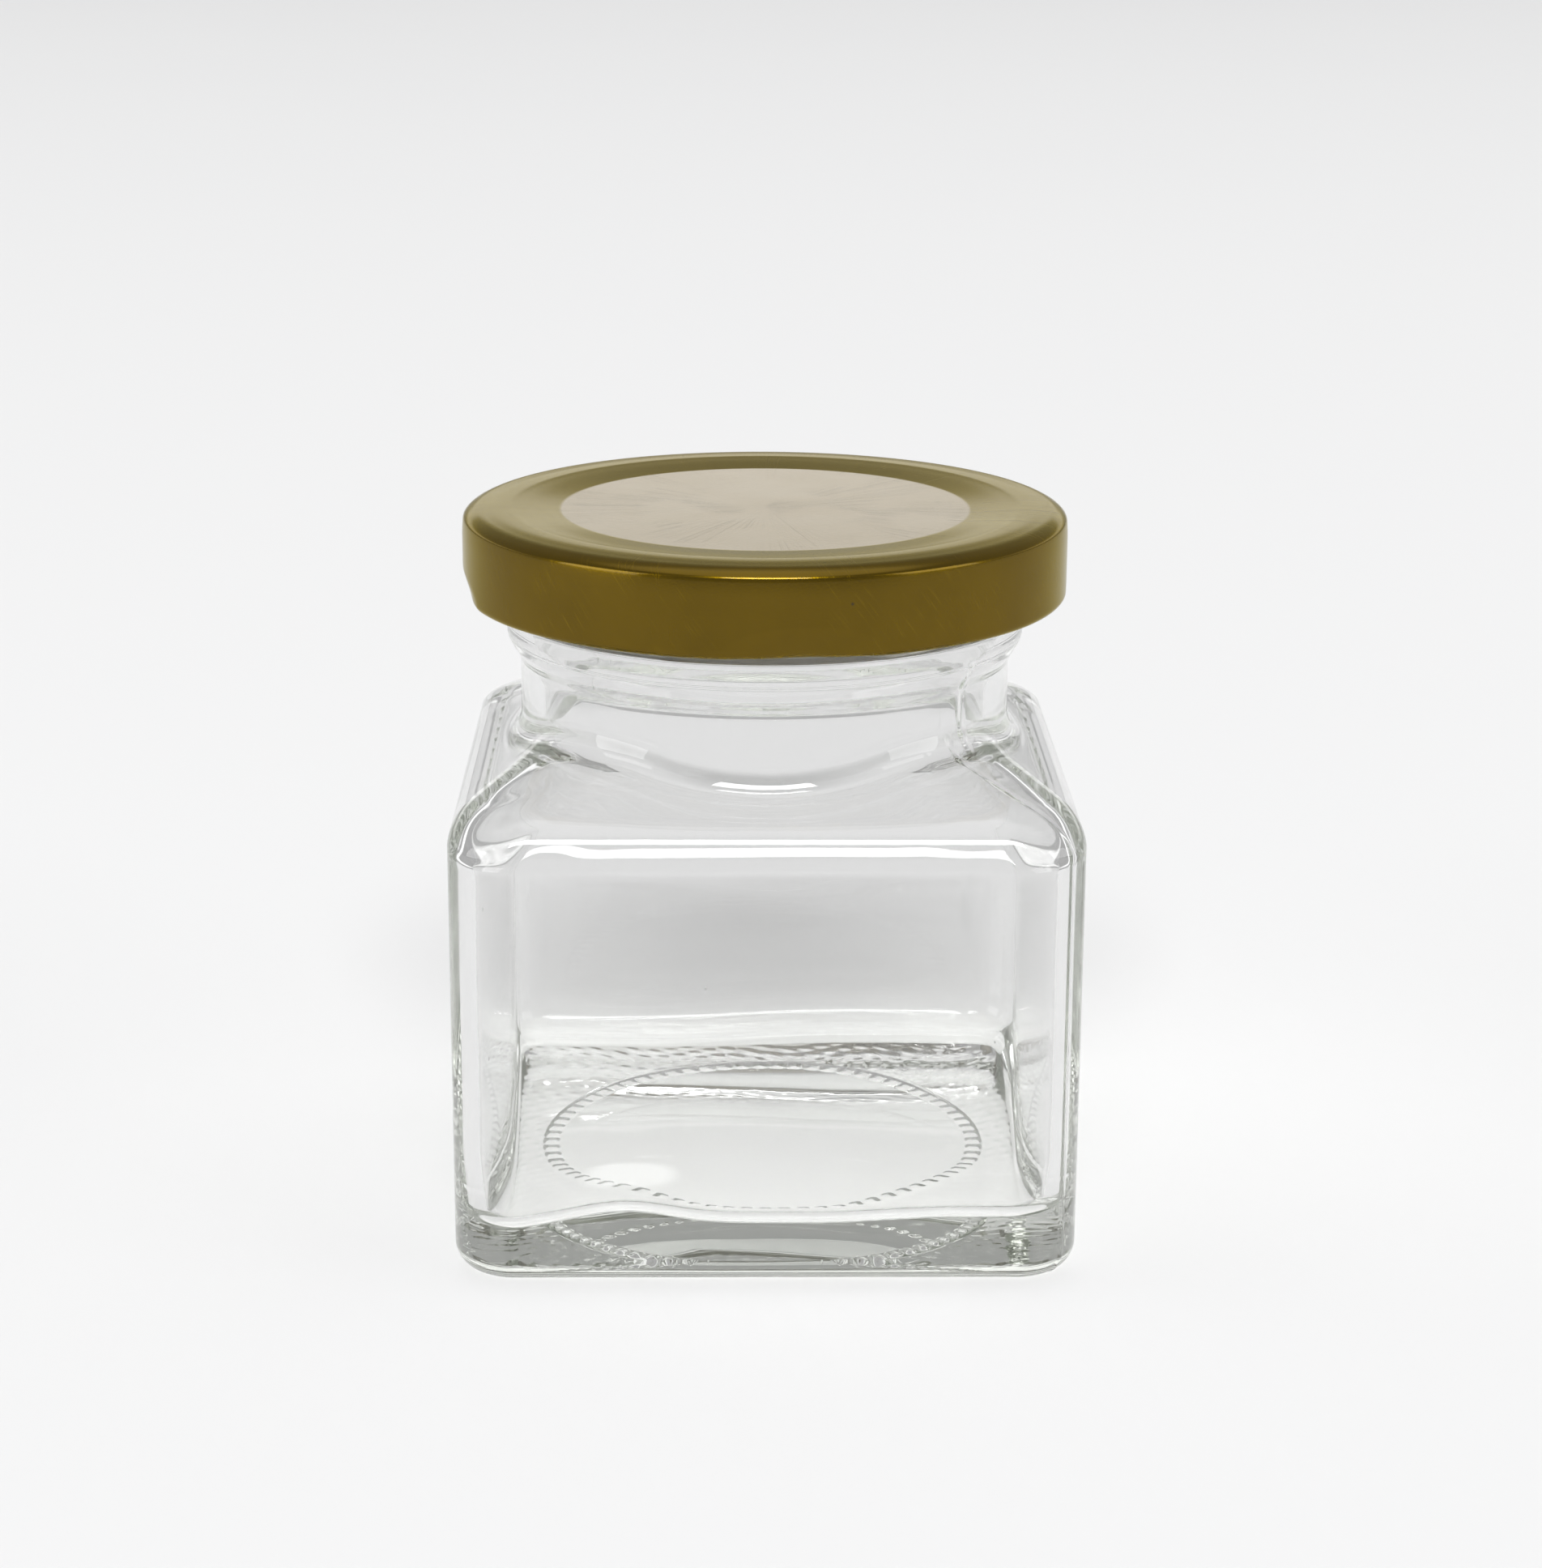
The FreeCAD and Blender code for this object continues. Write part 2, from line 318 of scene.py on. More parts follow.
def outerReach(angle, z):
    # the whole outside: a quarter-circle heel, the square body, the sweep and the neck,
    # with the threads and the mould lines added on
    g = glass
    inHeel = np.clip(1 - z / g["heel"], 0, 1)
    inset = g["heel"] * (1 - np.sqrt(1 - inHeel ** 2))
    half = np.where(z < g["heel"], bodyHalf - inset, shoulderHalf(z))
    corner = np.maximum(shoulderCorner(z) - inset, 1 * mm)
    radius = squareReach(angle, np.maximum(half, 12 * mm), np.minimum(corner, half))
    swept = footSweep(angle, z, shoulderReach, g["neck"], g["foot"])
    radius = np.where(z > g["footLow"], swept, radius)
    radius = np.where(z > g["neckFrom"], neckReach(z), radius)
    return radius + threadRidge(angle, z) + seamRidge(angle, radius, z)


def outerRings():
    # rows from the heel up to the finish, closer together where the surface turns
    g = glass
    heelTurn = np.linspace(0, math.pi / 2, 11)[1:]
    z = np.concatenate([
        g["heel"] * (1 - np.cos(heelTurn)),
        steps((4 * mm, 38.6 * mm, 4), (38.6 * mm, 42.8 * mm, 18), (42.8 * mm, 49.2 * mm, 32),
              (49.2 * mm, 53.8 * mm, 9), (53.8 * mm, 54.2 * mm, 6), (54.2 * mm, 56.2 * mm, 6),
              (56.2 * mm, 63 * mm, 24)),
    ])[:, None]
    gather = g["gather"] * (1 - smoothStep(z, 43 * mm, 47 * mm))
    angle = columnAngles(gather)
    return toPoints(outerReach(angle, z), angle, z)


def rimRings():
    # the rounded sealing rim, from the outside over the top and into the bore
    g = glass
    turn = np.linspace(0, math.pi, 13)[:, None]
    outer, inner = g["finish"], g["mouth"]
    high = g["rimRound"]
    middle = np.where(turn < math.pi / 2, outer - high, inner + high)
    radius = middle + high * np.cos(turn)
    z = rimZ - high + high * np.sin(turn)
    angle = columnAngles(np.zeros(len(turn)))
    return toPoints(radius, angle, z)


def floorHeight(x, y):
    # the inner floor is a little uneven: it swells along the front and dips towards one corner
    g = glass
    front = 1 - smoothStep(y, -25 * mm, -6 * mm)
    along = g["floorFront"] + g["floorSwell"] * bump(x, -12.5 * mm, 5.5 * mm)
    along = along + g["floorRight"] * smoothStep(x, 4 * mm, 17 * mm)
    along = along - g["floorDip"] * bump(x, -25 * mm, 5 * mm)
    back = g["floorBack"] * smoothStep(y, 6 * mm, 27 * mm) * (1 + 0.3 * np.sin(x / (11 * mm)))
    return g["floor"] + front * along + back


def innerRings():
    # the inside from the rim down to the heel: bore, sweep, shoulder and wall
    g = glass
    z = steps((rimZ - 1.3 * mm, 54.6 * mm, 4), (54.6 * mm, 50.6 * mm, 14), (50.6 * mm, 41.6 * mm, 32),
              (41.6 * mm, 36.6 * mm, 16),
              (36.6 * mm, g["floor"] + g["innerHeel"], 7))[:, None]
    gather = g["gather"] * (1 - smoothStep(z, 42 * mm, 46 * mm))
    angle = columnAngles(gather)
    swept = footSweep(angle, z, innerShoulderReach, g["bore"], g["innerFoot"])
    radius = np.where(z > 40.5 * mm, swept, innerShoulderReach(angle, z))
    radius = radius + (g["mouth"] - g["bore"]) * smoothStep(z, g["beadLow"], g["beadFull"])
    wavy = g["wavy"] * np.sin(3 * angle + z / (7 * mm)) * np.sin(z / (5 * mm) + 2 * angle)
    radius = radius + wavy * (1 - smoothStep(z, 36 * mm, 42 * mm))
    # the glass is uneven inside the four hips, where it was blown thinnest
    diagonal = turnTo(4 * angle, math.pi) / 4
    hip = bump(diagonal, 0, 0.2) * bump(z, g["hipZ"], 2.6 * mm)
    rough = np.sin(17 * angle + z / (0.9 * mm)) + 0.7 * np.sin(29 * angle - z / (0.6 * mm) + 1)
    return toPoints(radius + g["hip"] * hip * rough, angle, z)


def floorRings():
    # inner heel and floor: rounded-square rings that shrink to the middle
    g = glass
    turn = np.linspace(0, math.pi / 2, 9)[1:, None]
    flatHalf = bodyHalf - g["wall"] - g["innerHeel"]
    angle = columnAngles(np.full(len(turn), g["gather"]))
    inset = g["innerHeel"] * (1 - np.cos(turn))
    corner = np.maximum(g["innerCorner"] - inset, g["floorCorner"])
    edge = squareReach(angle, bodyHalf - g["wall"] - inset, corner)
    heel = toPoints(edge, angle, 0)
    share = 1 - np.linspace(0, 1, 20, endpoint=False)[1:, None] ** 0.8
    flatAngle = columnAngles(np.full(len(share), g["gather"]))
    flat = toPoints(squareReach(flatAngle, flatHalf, g["floorCorner"]) * share, flatAngle, 0)
    rings = np.vstack([heel, flat])
    low = floorHeight(rings[..., 0], rings[..., 1])
    rise = np.vstack([g["innerHeel"] * (1 - np.sin(turn)), np.zeros((len(share), 1))])
    rings[..., 2] = low + rise
    return rings


def baseRings():
    # underside from the middle outwards: shallow push-up, ring of grip marks, flat bearing face
    g = glass
    inner = g["markRing"] - g["markLength"]
    start, end = inner - 0.4 * mm, g["markRing"] + 0.15 * mm
    middle = np.linspace(0, 1, 9)[1:-1] * start
    radius = np.concatenate([middle, np.linspace(start, end, 12)])[:, None]
    angle = columnAngles(np.zeros(len(radius)))
    dome = g["pushUp"] * np.clip(1 - (radius / inner) ** 2, 0, None)
    teeth = (0.5 + 0.5 * np.cos(g["marks"] * angle)) ** 1.5
    channel = smoothStep(radius, inner, inner + 0.25 * mm)
    channel = channel * (1 - smoothStep(radius, g["markRing"] - 0.25 * mm, g["markRing"]))
    step = g["ringStep"] * (1 - smoothStep(radius, g["markRing"] - 0.05 * mm, g["markRing"] + 0.12 * mm))
    offCentre = np.hypot(radius * np.cos(angle) - 1 * mm, radius * np.sin(angle) + 2 * mm)
    baffle = g["baffle"] * bump(offCentre, g["baffleRing"], 0.5 * mm)
    centre = toPoints(radius, angle, dome + step + g["markDepth"] * teeth * channel + baffle)
    share = np.linspace(0, 1, 26)[1:, None]
    flatAngle = columnAngles(g["gather"] * share)
    edge = squareReach(flatAngle, bodyHalf - g["heel"], g["corner"] - g["heel"])
    reach = end + (edge - end) * share
    # the bearing face is faintly hammered, as the mould leaves it
    across, along = reach * np.cos(flatAngle), reach * np.sin(flatAngle)
    hammered = np.sin(across / (0.62 * mm) + 2 * np.sin(along / (1.9 * mm)))
    hammered = hammered * np.sin(along / (0.55 * mm) + 2 * np.sin(across / (2.3 * mm)))
    flat = toPoints(reach, flatAngle, g["hammer"] * hammered ** 2 * (1 - smoothStep(share, 0.9, 1.0)))
    return np.vstack([centre, flat])


def seedBubble(centre, size):
    # a tiny stretched bubble of air inside the glass, with its faces turned inwards
    turn = np.linspace(0, math.pi, 8)[1:-1, None]
    angle = np.arange(12)[None, :] * math.pi / 6
    rings = toPoints(size * np.sin(turn), angle, 1.7 * size * np.cos(turn)) + np.array(centre)
    points, quads, caps = surfaceFromRings(rings, False)
    return points, quads[:, ::-1], caps[:, ::-1]


def buildGlassJar():
    # one surface from the middle of the underside, over the rim, to the middle of the floor
    rings = np.vstack([baseRings(), outerRings(), rimRings(), innerRings(), floorRings()])
    body = surfaceFromRings(rings, False)
    middle = bodyHalf - glass["wall"] / 2
    seeds = [((-middle, -20 * mm, 33 * mm), 0.11 * mm), ((-middle, -19 * mm, 18.5 * mm), 0.13 * mm),
             ((-5.4 * mm, -middle, 28 * mm), 0.08 * mm), ((20 * mm, -middle, 23 * mm), 0.07 * mm),
             ((9 * mm, middle, 31 * mm), 0.09 * mm), ((-14 * mm, 10 * mm, 2.2 * mm), 0.1 * mm)]
    parts = [body] + [seedBubble(centre, size) for centre, size in seeds]
    jar = makePiece("glassJar", parts, [glassMaterial()])
    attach(jar, "jar")
    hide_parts("glass_jar")
    return jar


# the lid: one pressing of tinplate, lacquered gold outside and cream inside

lid = {
    "columns": 360,
    "sheet": 0.25 * mm,
    "panel": 18.9 * mm,          # edge of the flat sunk panel
    "panelTop": 65.15 * mm,
    "crest": 23.4 * mm,          # highest circle of the rim
    "fall": 0.12 * mm,           # drop from the crest to the corner
    "cornerAcross": 2.0 * mm,    # the corner is a quarter of an ellipse
    "cornerDown": 0.92 * mm,
    "curl": 0.65 * mm,
    "curlTurn": math.radians(285),
    "lugCentre": math.radians(-83.6),
    "lugHalf": math.radians(14),
    "lugPress": 0.9 * mm,
    "taper": 0.13 * mm,          # the skirt draws in this much just under the corner
    "taperLow": 63.0 * mm,
    "taperOver": 1.9 * mm,
    "skirtFrom": 26.8 * mm,      # dents only press what lies outside this radius
    "lugReach": 1.25 * mm,       # how far the rolled edge is pushed in at a lug
    "dentHeight": 2.5 * mm,
    "drawIn": 0.02 * mm,         # evenly inwards, so that the waver stays within the size
    "waver": 0.012 * mm,
    "fineWaver": 0.008 * mm,
}


def lidProfile(inner):
    # radius and height of the sheet from the middle to the curl; inner is how far inside
    g = lid
    flat = steps((0, g["panel"] - 0.2 * mm, 8), (g["panel"] - 0.2 * mm, g["panel"] + 0.4 * mm, 12),
                 (g["panel"] + 0.4 * mm, lidRadius - g["cornerAcross"], 24))[1:]
    # flat panel, a straight slope up to the crest, then a gentle fall to the tight corner
    slope = (flat - g["panel"]) / (g["crest"] - g["panel"])
    rise = softMax(np.minimum(slope, 1.0), 0, 0.02) - 0.10 * bump(slope, 1.0, 0.3)
    fall = np.clip((flat - g["crest"]) / (lidRadius - g["cornerAcross"] - g["crest"]), 0, 1)
    height = g["panelTop"] + (lidTop - g["panelTop"]) * rise - g["fall"] * fall ** 2
    middleZ = lidTop - g["fall"] - g["cornerDown"]
    turn = np.linspace(0, math.pi / 2, 19)[1:]
    cornerR = lidRadius - g["cornerAcross"] + (g["cornerAcross"] - inner) * np.sin(turn)
    cornerZ = middleZ + (g["cornerDown"] - inner) * np.cos(turn)
    skirtZ = np.linspace(middleZ, lidBottom + g["curl"], 24)[1:-1]
    curlTurn = np.linspace(0, g["curlTurn"], 24)
    curlSize = g["curl"] - inner
    curlR = lidRadius - g["curl"] + curlSize * np.cos(curlTurn)
    curlZ = lidBottom + g["curl"] - curlSize * np.sin(curlTurn)
    radius = np.concatenate([flat, cornerR, np.full(len(skirtZ), lidRadius - inner), curlR])
    height = np.concatenate([height - inner, cornerZ, skirtZ, curlZ])
    inCurl = np.concatenate([np.zeros(len(radius) - len(curlTurn)), smoothStep(curlTurn, 0.2, 2.2)])
    return radius, height, inCurl


def buildLid():
    # the outer profile and, back again, the inner one, turned round the axis; then the lugs,
    # the taper and the waver push each point inwards
    g = lid
    outR, outZ, outCurl = lidProfile(0)
    inR, inZ, inCurl = lidProfile(g["sheet"])
    radius = np.concatenate([outR, inR[::-1]])[:, None]
    height = np.concatenate([outZ, inZ[::-1]])[:, None]
    inRoll = np.concatenate([outCurl, inCurl[::-1]])[:, None]
    angle = np.arange(g["columns"])[None, :] * 2 * math.pi / g["columns"]
    nearest = turnTo(4 * angle, 4 * g["lugCentre"]) / 4
    # a lug is an arched dent: the skirt goes in a little, the rolled edge goes in far and flat
    away = np.hypot(nearest / g["lugHalf"], np.maximum(height - lidBottom, 0) / g["dentHeight"])
    dent = np.clip(1.08 - away, 0, 1) ** 1.2 * (radius > g["skirtFrom"])
    lug = (1 - smoothStep(np.abs(nearest) / g["lugHalf"], 0.72, 1.0)) * inRoll
    inward = g["lugPress"] * np.maximum(dent, lug)
    depth = (lidRadius - radius) / (2 * g["curl"])
    inward = inward + (g["lugReach"] - g["lugPress"]) * lug * np.clip(depth, 0, 1)
    flatter = np.where(height < lidBottom + 2.2 * g["curl"], 0.4 * lug, 0)
    z = lidBottom + (height - lidBottom) * (1 - flatter)
    # unevenness far too small to measure, so that long highlights waver
    waver = g["waver"] * np.sin(5 * angle + 1.3) + g["fineWaver"] * np.sin(11 * angle)
    inward = inward + (g["drawIn"] + waver) * smoothStep(radius, 26 * mm, 27.4 * mm)
    upper = np.clip((height - g["taperLow"]) / g["taperOver"], 0, 1) ** 2
    inward = inward + g["taper"] * upper * smoothStep(radius, 26.4 * mm, 27.2 * mm)
    rings = toPoints(radius - inward, angle, z)
    # gold on the rows of the outer profile and the first pole, cream on the rest
    quadRow = np.repeat(np.arange(len(rings) - 1), g["columns"])
    inside = quadRow >= len(outR)
    slots = np.concatenate([inside, np.zeros(g["columns"]), np.ones(g["columns"])])
    surface = surfaceFromRings(rings, False)
    piece = makePiece("lidShell", [surface], [goldMaterial(), creamMaterial()], slots)
    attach(piece, "lid")
    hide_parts("lid_shell")
    return piece


# the soft sealing ring, flowed into the channel of the lid

gasket = {
    "columns": 240,
    "inner": 20.9 * mm,
    "pressed": 0.06 * mm,        # gap left between the rim of the glass and the ring
    "innerRise": 0.95 * mm,      # how thick the ring is along its inner edge
}


def buildGasket():
    # an outline of radius and height, from the inner lip along the sealing face and round
    # the outside to the top, turned round the axis
    g = gasket
    low, high = ringLow.z, ringHigh.z
    inner, outer = g["inner"], ringHigh.x
    face = rimZ + g["pressed"]
    corners = np.array([
        (inner + 0.15 * mm, face + 0.62 * mm), (inner, face + 0.3 * mm),
        (inner + 0.35 * mm, face + 0.04 * mm), (inner + 1.2 * mm, face),
        (outer - 1.5 * mm, face), (outer - 1.15 * mm, face - 0.2 * mm),
        (outer - 0.8 * mm, low + 0.02 * mm), (outer - 0.35 * mm, low + 0.08 * mm),
        (outer, face + 0.05 * mm), (outer, high - 0.5 * mm),
        (outer - 0.35 * mm, high - 0.12 * mm), (outer - 1 * mm, high - 0.02 * mm),
        (outer - 2.6 * mm, high - 0.18 * mm), (inner + 1.2 * mm, face + g["innerRise"])])
    # the outline eases from each corner to the next: share^2 (3 - 2 share)
    share = np.linspace(0, 1, 5, endpoint=False)[None, :, None]
    p1, p2 = corners[:, None], np.roll(corners, -1, 0)[:, None]
    blend = share * share * (3 - 2 * share)
    outline = ((1 - blend) * p1 + blend * p2).reshape(-1, 2)
    angle = np.arange(g["columns"])[None, :] * 2 * math.pi / g["columns"]
    rings = toPoints(outline[:, :1], angle, outline[:, 1:])
    piece = makePiece("sealingGasket", [surfaceFromRings(rings, True)], [plastisolMaterial()])
    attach(piece, "gasket")
    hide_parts("sealing_gasket")
    return piece


# materials

def newMaterial(name):
    # an empty node material, with its nodes and links
    material = bpy.data.materials.new(name)
    material.use_nodes = True
    nodes = material.node_tree.nodes
    nodes.clear()
    return material, nodes, material.node_tree.links


def addNode(nodes, kind, **settings):
    # a node with its plain settings; numbers for sockets are set by name afterwards
    node = nodes.new(kind)
    for key, value in settings.items():
        setattr(node, key, value)
    return node


def maths(nodes, links, operation, first, second=None):
    # one sum; each side is a number or another node's output
    node = addNode(nodes, "ShaderNodeMath", operation=operation)
    for socket, side in zip(node.inputs, (first, second)):
        if side is None:
            continue
        if isinstance(side, (int, float)):
            socket.default_value = side
        else:
            links.new(side, socket)
    return node.outputs[0]


def ramp(nodes, links, value, low, high, start, end):
    # value between low and high becomes start to end, smoothly
    node = addNode(nodes, "ShaderNodeMapRange", interpolation_type="SMOOTHSTEP")
    for name, number in (("From Min", low), ("From Max", high), ("To Min", start), ("To Max", end)):
        node.inputs[name].default_value = number
    links.new(value, node.inputs["Value"])
    return node.outputs["Result"]


def noiseAt(nodes, links, vector, scale, detail=2.0):
    # soft random value between 0 and 1, with scale lumps to the metre
    node = nodes.new("ShaderNodeTexNoise")
    node.inputs["Scale"].default_value = scale
    node.inputs["Detail"].default_value = detail
    links.new(vector, node.inputs["Vector"])
    return node.outputs["Fac"]


def newGroup(name, inputs, outputs):
    # a shader group with number inputs (name, default), a Vector input first, and number outputs
    group = bpy.data.node_groups.new(name, "ShaderNodeTree")
    group.interface.new_socket(name="Vector", in_out="INPUT", socket_type="NodeSocketVector")
    for label, value in inputs:
        socket = group.interface.new_socket(name=label, in_out="INPUT", socket_type="NodeSocketFloat")
        socket.default_value = value
    for label in outputs:
        group.interface.new_socket(name=label, in_out="OUTPUT", socket_type="NodeSocketFloat")
    start = group.nodes.new("NodeGroupInput")
    end = group.nodes.new("NodeGroupOutput")
    return group, start, end


def scratchGroup():
    # fine slanting scratches round the axis: long thin noise, kept where it is highest. The
    # way round and the height are in millimetres, turned against each other by Lean.
    group, start, end = newGroup("fineScratches", [("Lean", 1.0), ("Amount", 0.5)], ["Mask"])
    nodes, links = group.nodes, group.links
    split = nodes.new("ShaderNodeSeparateXYZ")
    links.new(start.outputs["Vector"], split.inputs[0])
    turn = maths(nodes, links, "ARCTAN2", split.outputs["Y"], split.outputs["X"])
    way = maths(nodes, links, "MULTIPLY", turn, 27.8)
    up = maths(nodes, links, "MULTIPLY", split.outputs["Z"], 1000.0)
    lean = maths(nodes, links, "MULTIPLY", up, start.outputs["Lean"])
    across = maths(nodes, links, "ADD", way, lean)
    back = maths(nodes, links, "MULTIPLY", way, start.outputs["Lean"])
    along = maths(nodes, links, "SUBTRACT", up, back)
    flat = nodes.new("ShaderNodeCombineXYZ")
    links.new(maths(nodes, links, "MULTIPLY", across, 5.0), flat.inputs["X"])
    links.new(maths(nodes, links, "MULTIPLY", along, 0.22), flat.inputs["Y"])
    fine = noiseAt(nodes, links, flat.outputs[0], 1.0, 3.0)
    patches = noiseAt(nodes, links, start.outputs["Vector"], 160.0, 1.0)
    lines = ramp(nodes, links, fine, 0.57, 0.72, 0.0, 1.0)
    where = ramp(nodes, links, patches, 0.38, 0.62, 0.0, 1.0)
    mask = maths(nodes, links, "MULTIPLY", lines, where)
    links.new(maths(nodes, links, "MULTIPLY", mask, start.outputs["Amount"]), end.inputs["Mask"])
    return group


def grainGroup():
    # the faint orange-peel of baked lacquer, and a few specks of dust
    group, start, end = newGroup("lacquerGrain", [("Size", 2600.0)], ["Height", "Specks"])
    nodes, links = group.nodes, group.links
    node = nodes.new("ShaderNodeTexNoise")
    node.inputs["Detail"].default_value = 2
    links.new(start.outputs["Vector"], node.inputs["Vector"])
    links.new(start.outputs["Size"], node.inputs["Scale"])
    links.new(node.outputs["Fac"], end.inputs["Height"])
    dots = nodes.new("ShaderNodeTexVoronoi")
    dots.inputs["Scale"].default_value = 420
    links.new(start.outputs["Vector"], dots.inputs["Vector"])
    near = ramp(nodes, links, dots.outputs["Distance"], 0.03, 0.09, 1.0, 0.0)
    pick = nodes.new("ShaderNodeSeparateColor")
    links.new(dots.outputs["Color"], pick.inputs[0])
    few = maths(nodes, links, "GREATER_THAN", pick.outputs[0], 0.9)
    links.new(maths(nodes, links, "MULTIPLY", near, few), end.inputs["Specks"])
    return group


def placeGroup(nodes, links, group, vector, **values):
    # one use of a group, with its own values
    node = nodes.new("ShaderNodeGroup")
    node.node_tree = group
    links.new(vector, node.inputs["Vector"])
    for name, value in values.items():
        node.inputs[name].default_value = value
    return node


def mixColour(nodes, links, factor, first, second):
    # first where factor is 0, second where it is 1; each is a colour or a node's output
    node = addNode(nodes, "ShaderNodeMix", data_type="RGBA")
    links.new(factor, node.inputs[0])
    for socket, colour in ((node.inputs[6], first), (node.inputs[7], second)):
        if isinstance(colour, tuple):
            socket.default_value = (*colour, 1)
        else:
            links.new(colour, socket)
    return node.outputs[2]


clearGlass = {
    "colour": (0.905, 0.905, 0.905, 1),
    "ior": 1.52,
    "absorbs": (0.858, 0.868, 0.845, 1),   # grey-green, seen only where the glass is thick
    "density": 42,
    "shadow": (0.98, 0.982, 0.978, 1),
}


def glassMaterial():
    # clear glass: grey-green only where it is thick, with faint patches of haze
    look = clearGlass
    material, nodes, links = newMaterial("clearGlass")
    out = nodes.new("ShaderNodeOutputMaterial")
    shader = nodes.new("ShaderNodeBsdfPrincipled")
    shader.inputs["Base Color"].default_value = look["colour"]
    shader.inputs["Transmission Weight"].default_value = 1
    shader.inputs["IOR"].default_value = look["ior"]
    coords = nodes.new("ShaderNodeTexCoord").outputs["Object"]
    haze = nodes.new("ShaderNodeMapRange")
    for name, number in (("From Min", 0.35), ("From Max", 0.75), ("To Min", 0.0), ("To Max", 0.02)):
        haze.inputs[name].default_value = number
    links.new(noiseAt(nodes, links, coords, 140, 3), haze.inputs["Value"])
    links.new(haze.outputs["Result"], shader.inputs["Roughness"])
    absorb = nodes.new("ShaderNodeVolumeAbsorption")
    absorb.inputs["Color"].default_value = look["absorbs"]
    absorb.inputs["Density"].default_value = look["density"]
    clear = nodes.new("ShaderNodeBsdfTransparent")
    clear.inputs["Color"].default_value = look["shadow"]
    path = nodes.new("ShaderNodeLightPath")
    mix = nodes.new("ShaderNodeMixShader")
    links.new(path.outputs["Is Shadow Ray"], mix.inputs["Fac"])
    links.new(shader.outputs["BSDF"], mix.inputs[1])
    links.new(clear.outputs["BSDF"], mix.inputs[2])
    links.new(mix.outputs["Shader"], out.inputs["Surface"])
    links.new(absorb.outputs["Volume"], out.inputs["Volume"])
    return material


gold = {
    "base": (0.118, 0.072, 0.0003),
    "baseLight": (0.142, 0.087, 0.0006),
    "worn": (0.24, 0.155, 0.006),          # in the scratches
    "speck": (0.06, 0.045, 0.02),
    "rimTint": (0.80, 0.73, 0.42),         # shine at a low angle on the rim and the skirt
    # painted reflection: the sunk panel's edge tint is paler than the rim's, standing in for the bright
    # backdrop it mirrors
    "panelPaintedReflectionTint": (1.0, 0.96, 0.86),
    "rough": (0.215, 0.235),
    "markRough": 0.12,
    "panelSmoother": -0.04,
    "coat": 0.3,
    "coatRough": 0.07,
    "relief": 0.2,
    "reliefDepth": 0.00003,
}


def goldMaterial():
    # gold lacquer over bright tinplate: deep yellow metal under a thin clear coat
    look = gold
    material, nodes, links = newMaterial("goldLacquer")
    out = nodes.new("ShaderNodeOutputMaterial")
    shader = nodes.new("ShaderNodeBsdfPrincipled")
    coords = nodes.new("ShaderNodeTexCoord").outputs["Object"]
    scratches = placeGroup(nodes, links, groups["scratches"], coords, Lean=0.75, Amount=0.35)
    streaks = placeGroup(nodes, links, groups["scratches"], coords, Lean=0.03, Amount=0.5)
    grain = placeGroup(nodes, links, groups["grain"], coords, Size=4200.0)
    drift = ramp(nodes, links, noiseAt(nodes, links, coords, 130.0, 3.0), 0.2, 0.8, 0.0, 1.0)
    base = mixColour(nodes, links, drift, look["base"], look["baseLight"])
    worn = mixColour(nodes, links, scratches.outputs["Mask"], base, look["worn"])
    specked = mixColour(nodes, links, grain.outputs["Specks"], worn, look["speck"])
    links.new(specked, shader.inputs["Base Color"])
    marks = maths(nodes, links, "ADD", scratches.outputs["Mask"], streaks.outputs["Mask"])
    rough = maths(nodes, links, "ADD", ramp(nodes, links, drift, 0.0, 1.0, *look["rough"]),
                  maths(nodes, links, "MULTIPLY", marks, look["markRough"]))
    shader.inputs["Metallic"].default_value = 1
    # the sunk panel is a little smoother than the rim and the skirt, and its reflections are tinted
    # paler there: a painted reflection of the bright backdrop
    split = nodes.new("ShaderNodeSeparateXYZ")
    links.new(coords, split.inputs[0])
    across = maths(nodes, links, "SQRT", maths(
        nodes, links, "ADD", maths(nodes, links, "MULTIPLY", split.outputs["X"], split.outputs["X"]),
        maths(nodes, links, "MULTIPLY", split.outputs["Y"], split.outputs["Y"])))
    panel = ramp(nodes, links, across, lid["panel"] - 0.3 * mm, lid["panel"] + 0.1 * mm, 1.0, 0.0)
    links.new(mixColour(nodes, links, panel, look["rimTint"], look["panelPaintedReflectionTint"]),
              shader.inputs["Specular Tint"])
    shader.inputs["Coat Weight"].default_value = look["coat"]
    shader.inputs["Coat Roughness"].default_value = look["coatRough"]
    smoother = maths(nodes, links, "MULTIPLY", panel, look["panelSmoother"])
    links.new(maths(nodes, links, "ADD", rough, smoother), shader.inputs["Roughness"])
    relief = nodes.new("ShaderNodeBump")
    relief.inputs["Strength"].default_value = look["relief"]
    relief.inputs["Distance"].default_value = look["reliefDepth"]
    height = maths(nodes, links, "SUBTRACT", grain.outputs["Height"], marks)
    links.new(height, relief.inputs["Height"])
    links.new(relief.outputs["Normal"], shader.inputs["Normal"])
    links.new(shader.outputs["BSDF"], out.inputs["Surface"])
    return material


def creamMaterial():
    # the pale food-safe lacquer inside the lid
    return softMaterial("creamLacquer", (0.70, 0.66, 0.56), (0.63, 0.585, 0.49), 0.32, 900.0)


def plastisolMaterial():
    # the soft cream compound of the sealing ring
    return softMaterial("creamPlastisol", (0.74, 0.70, 0.60), (0.66, 0.62, 0.52), 0.5, 700.0)


